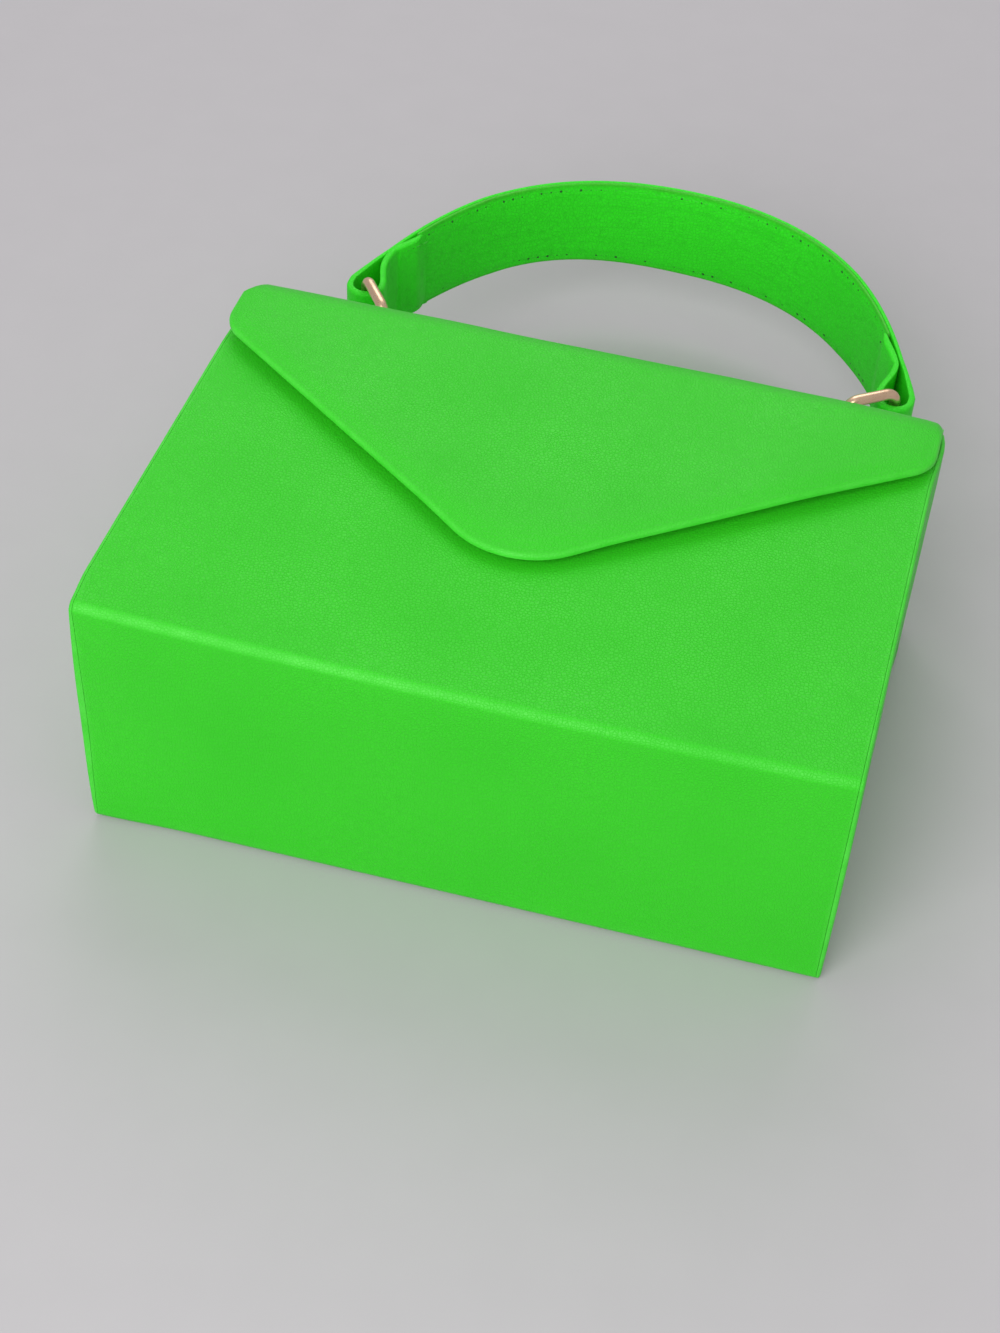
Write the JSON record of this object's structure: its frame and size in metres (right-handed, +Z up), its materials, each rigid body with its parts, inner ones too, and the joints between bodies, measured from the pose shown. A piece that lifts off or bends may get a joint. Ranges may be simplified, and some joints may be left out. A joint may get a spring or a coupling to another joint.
{
  "type": "box clutch bag",
  "caption": "Small stiff box bag with an envelope flap that folds over its front, a hinged lid, and a flat strap handle on metal rings.",
  "frame": {"origin": "middle of the back panel's outer face, on the surface that the bag lies on", "axes": "+X to the bag's right seen from its front, +Y to the bag's top and handle, +Z up, out of the bag's front"},
  "size_m": [0.2, 0.261, 0.0841],
  "materials": {
    "green_leather": "smooth coated leather with a fine grain, satin",
    "board": "plain stiffening board, matte",
    "lining_cloth": "fine twill lining cloth, matte",
    "gold_metal": "polished rose gold plating",
    "magnet": "dull grey sintered magnet"
  },
  "bodies": {
    "body": {"outer_wrap": "green_leather", "left_side_skin": "green_leather", "right_side_skin": "green_leather", "front_board": "board", "back_board": "board", "base_board": "board", "left_side_board": "board", "right_side_board": "board", "body_lining": "lining_cloth", "left_side_lining": "lining_cloth", "right_side_lining": "lining_cloth", "slip_pocket": "lining_cloth", "pocket_hem": "lining_cloth", "lid_crease": "green_leather", "snap_socket": "gold_metal", "snap_magnet": "magnet", "snap_prongs": "gold_metal", "snap_back_washer": "gold_metal"},
    "lid": {"top_skin": "green_leather", "top_board": "board", "top_lining": "lining_cloth", "left_ring_tab": "green_leather", "right_ring_tab": "green_leather", "flap_crease": "green_leather"},
    "flap": {"flap_skin": "green_leather", "flap_board": "board", "flap_lining": "green_leather", "snap_stud": "gold_metal", "snap_stud_washer": "gold_metal"},
    "left_ring": {"left_ring": "gold_metal"},
    "right_ring": {"right_ring": "gold_metal"},
    "handle": {"handle_strap": "green_leather", "handle_core": "board", "handle_lining": "green_leather"}
  },
  "joints": [
    {"name": "lid_hinge", "type": "hinge", "parent": "body", "child": "lid", "pos_m": [0, 0.06896, 0.00104], "axis": [-1, 0, 0], "range_deg": [0, 90], "deforming": ["lid_crease"]},
    {"name": "flap_fold", "type": "hinge", "parent": "lid", "child": "flap", "pos_m": [0, 0.06703, 0.08113], "axis": [-1, 0, 0], "range_deg": [0, 90], "deforming": ["flap_crease"]},
    {"name": "left_ring_swing", "type": "hinge", "parent": "lid", "child": "left_ring", "pos_m": [-0.07075, 0.098, 0.0395], "axis": [0, 0, 1], "range_deg": [-8, 20]},
    {"name": "handle_pivot", "type": "hinge", "parent": "left_ring", "child": "handle", "pos_m": [-0.08027, 0.11086, 0.0395], "axis": [0, 0, 1], "range_deg": [-17.5, 7.2]},
    {"name": "right_ring_swing", "type": "hinge", "parent": "lid", "child": "right_ring", "pos_m": [0.07075, 0.098, 0.0395], "axis": [0, 0, 1], "range_deg": [-8.6, 21.4]}
  ],
  "couplings": [
    {"joint": "handle_pivot", "follows": "left_ring_swing", "ratio": -0.8575},
    {"joint": "right_ring_swing", "follows": "left_ring_swing", "ratio": 1.0554}
  ]
}
